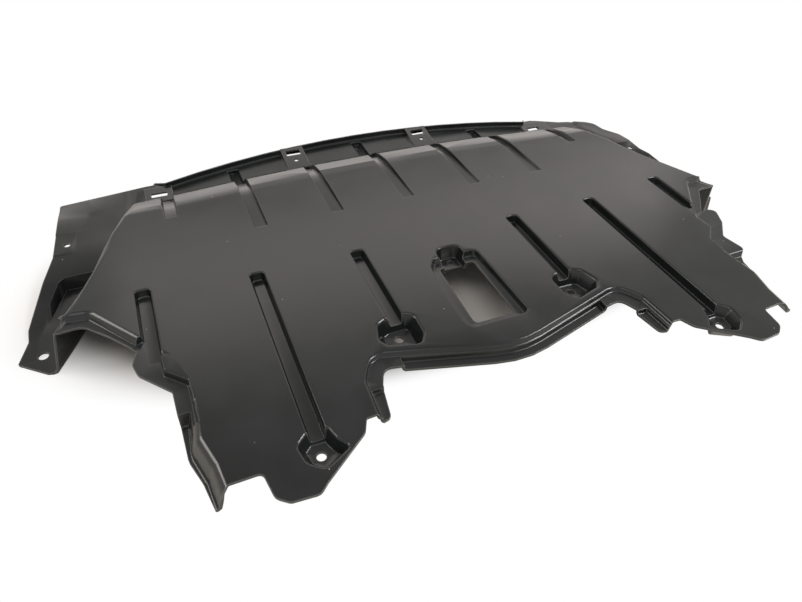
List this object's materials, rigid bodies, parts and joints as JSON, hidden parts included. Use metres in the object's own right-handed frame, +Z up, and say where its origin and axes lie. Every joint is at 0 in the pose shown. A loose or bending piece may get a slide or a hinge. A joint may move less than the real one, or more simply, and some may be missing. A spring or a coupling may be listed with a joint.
{
  "type": "engine splash shield",
  "caption": "Wide moulded plastic shield for the underside of an engine bay, with pressed channels, recessed bolt seats, a service opening and a curved front rim.",
  "frame": {"origin": "on the floor, below the middle of the part's overall length and width", "axes": "+X across the car towards the shield's right side in the picture, +Y towards the curved front rim, +Z up with the road side facing up"},
  "size_m": [1.226, 0.7542, 0.0842],
  "materials": {
    "shield_plastic": "satin black, fine moulded grain"
  },
  "bodies": {
    "root": {"splash_shield": "shield_plastic"}
  },
  "joints": []
}
